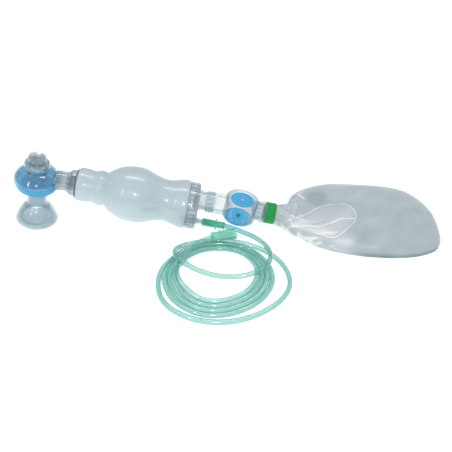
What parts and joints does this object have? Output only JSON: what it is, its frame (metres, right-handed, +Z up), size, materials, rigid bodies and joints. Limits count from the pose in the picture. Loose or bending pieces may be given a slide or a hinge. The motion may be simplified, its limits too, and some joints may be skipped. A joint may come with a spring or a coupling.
{
  "type": "bag valve mask",
  "caption": "Manual silicone resuscitator with round mask, swivelling patient valve with pressure relief, rear inlet, reservoir valve and film bag, and an oxygen tube",
  "frame": {"origin": "centre of the object's box at table level, measured without the oxygen tube", "axes": "+X along the squeeze bag from the mask toward the reservoir bag, +Z up"},
  "size_m": [0.557, 0.2581, 0.1036],
  "materials": {
    "valve_upper_housing": "clear",
    "valve_lower_housing": "translucent blue",
    "exhalation_membrane": "matte",
    "lip_valve": "satin",
    "patient_connector": "clear",
    "face_mask": "clear silicone",
    "relief_valve_housing": "clear",
    "relief_valve_disc": "satin",
    "relief_valve_spring": "drawn wire",
    "relief_knob": "clear",
    "bag_neck_connector": "clear",
    "swivel_seal_ring": "matte",
    "squeeze_bag": "frosted silicone",
    "rear_cap": "clear, ribbed",
    "intake_valve_seat": "satin",
    "intake_flap": "satin",
    "oxygen_nipple": "clear",
    "reservoir_valve_body": "clear",
    "air_inlet_cover": "clear",
    "air_inlet_flap": "satin",
    "overflow_cover": "clear",
    "overflow_flap": "satin",
    "green_tape_band": "adhesive tape",
    "reservoir_bag": "clear film",
    "near_tube_connector": "translucent green",
    "oxygen_tube_lead": "translucent green",
    "oxygen_tube_coil": "translucent green",
    "oxygen_tube_outer_loop": "translucent green",
    "oxygen_tube_tail": "translucent green",
    "far_tube_connector": "translucent green"
  },
  "bodies": {
    "bag": {"squeeze_bag": "squeeze_bag", "bag_neck_connector": "bag_neck_connector", "swivel_seal_ring": "swivel_seal_ring", "rear_cap": "rear_cap", "intake_valve_seat": "intake_valve_seat", "oxygen_nipple": "oxygen_nipple", "reservoir_valve_body": "reservoir_valve_body", "air_inlet_cover": "air_inlet_cover", "overflow_cover": "overflow_cover", "green_tape_band": "green_tape_band", "reservoir_bag": "reservoir_bag", "near_tube_connector": "near_tube_connector", "oxygen_tube_lead": "oxygen_tube_lead", "oxygen_tube_coil": "oxygen_tube_coil", "oxygen_tube_outer_loop": "oxygen_tube_outer_loop", "oxygen_tube_tail": "oxygen_tube_tail", "far_tube_connector": "far_tube_connector"},
    "patient_valve": {"valve_upper_housing": "valve_upper_housing", "valve_lower_housing": "valve_lower_housing", "relief_valve_housing": "relief_valve_housing", "relief_valve_spring": "relief_valve_spring"},
    "patient_port": {"patient_connector": "patient_connector"},
    "mask": {"face_mask": "face_mask"},
    "lip_valve": {"lip_valve": "lip_valve"},
    "exhalation_membrane": {"exhalation_membrane": "exhalation_membrane"},
    "relief_disc": {"relief_valve_disc": "relief_valve_disc"},
    "relief_knob": {"relief_knob": "relief_knob"},
    "intake_flap": {"intake_flap": "intake_flap"},
    "air_inlet_flap": {"air_inlet_flap": "air_inlet_flap"},
    "overflow_flap": {"overflow_flap": "overflow_flap"}
  },
  "joints": [
    {"name": "patient_valve_swivel", "type": "hinge", "parent": "bag", "child": "patient_valve", "pos_m": [-0.23848, -0.00415, 0.07225], "axis": [0.9785, 0, -0.2064], "continuous": true},
    {"name": "patient_port_swivel", "type": "hinge", "parent": "patient_valve", "child": "patient_port", "pos_m": [-0.23848, -0.00415, 0.07225], "axis": [0.2064, 0, 0.9785], "continuous": true},
    {"name": "mask_turn", "type": "hinge", "parent": "patient_port", "child": "mask", "pos_m": [-0.23848, -0.00415, 0.07225], "axis": [0.2064, 0, 0.9785], "continuous": true},
    {"name": "lip_valve_lift", "type": "slide", "parent": "patient_valve", "child": "lip_valve", "axis": [0.2064, 0, 0.9785], "range_m": [0, 0.0014], "stiffness_N_per_m": 30, "springref_m": -0.0005},
    {"name": "exhalation_membrane_lift", "type": "slide", "parent": "patient_valve", "child": "exhalation_membrane", "axis": [0.2064, 0, 0.9785], "range_m": [0, 0.0008], "stiffness_N_per_m": 30, "springref_m": -0.0005},
    {"name": "relief_valve_lift", "type": "slide", "parent": "patient_valve", "child": "relief_disc", "axis": [0.2064, 0, 0.9785], "range_m": [0, 0.0022], "stiffness_N_per_m": 150, "springref_m": -0.003, "deforming": ["relief_valve_spring"]},
    {"name": "relief_knob_press", "type": "slide", "parent": "patient_valve", "child": "relief_knob", "axis": [-0.2064, 0, -0.9785], "range_m": [0, 0.0016], "stiffness_N_per_m": 400, "springref_m": -0.0005},
    {"name": "intake_flap_lift", "type": "slide", "parent": "bag", "child": "intake_flap", "axis": [-0.9785, 0, 0.2064], "range_m": [0, 0.0018], "stiffness_N_per_m": 20, "springref_m": -0.0005},
    {"name": "air_inlet_flap_lift", "type": "slide", "parent": "bag", "child": "air_inlet_flap", "axis": [-0.2064, 0, -0.9785], "range_m": [0, 0.002], "stiffness_N_per_m": 20, "springref_m": -0.001},
    {"name": "overflow_flap_lift", "type": "slide", "parent": "bag", "child": "overflow_flap", "axis": [-0.2064, 0, -0.9785], "range_m": [0, 0.002], "stiffness_N_per_m": 20, "springref_m": -0.002}
  ]
}
